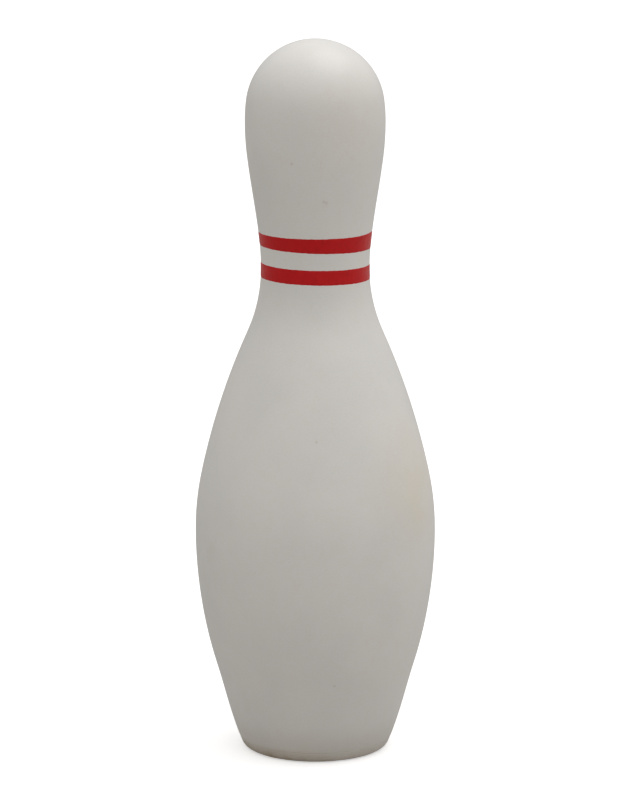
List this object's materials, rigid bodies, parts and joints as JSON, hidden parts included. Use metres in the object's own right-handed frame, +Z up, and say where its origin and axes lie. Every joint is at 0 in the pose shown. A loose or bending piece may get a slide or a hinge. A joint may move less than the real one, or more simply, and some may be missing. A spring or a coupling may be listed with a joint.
{
  "type": "bowling pin",
  "caption": "Tenpin bowling pin: laminated wood core in an off-white plastic coat, with red neck bands and a nylon base ring to stand on.",
  "frame": {"origin": "middle of the circle that the pin stands on, at floor height", "axes": "+Z up the pin's axis, +X to the pin's right-hand side, front at -Y"},
  "size_m": [0.128, 0.128, 0.381],
  "materials": {
    "core_wood": "matte",
    "cheek_wood": "matte",
    "ring_nylon": "satin",
    "coat_plastic": "satin",
    "band_red": "satin"
  },
  "bodies": {
    "root": {"core_centre_ply": "core_wood", "core_left_ply": "core_wood", "core_right_ply": "core_wood", "front_cheek": "cheek_wood", "back_cheek": "cheek_wood", "left_cheek": "cheek_wood", "right_cheek": "cheek_wood", "base_ring": "ring_nylon", "plastic_coat": "coat_plastic", "lower_neck_band": "band_red", "upper_neck_band": "band_red"}
  },
  "joints": []
}
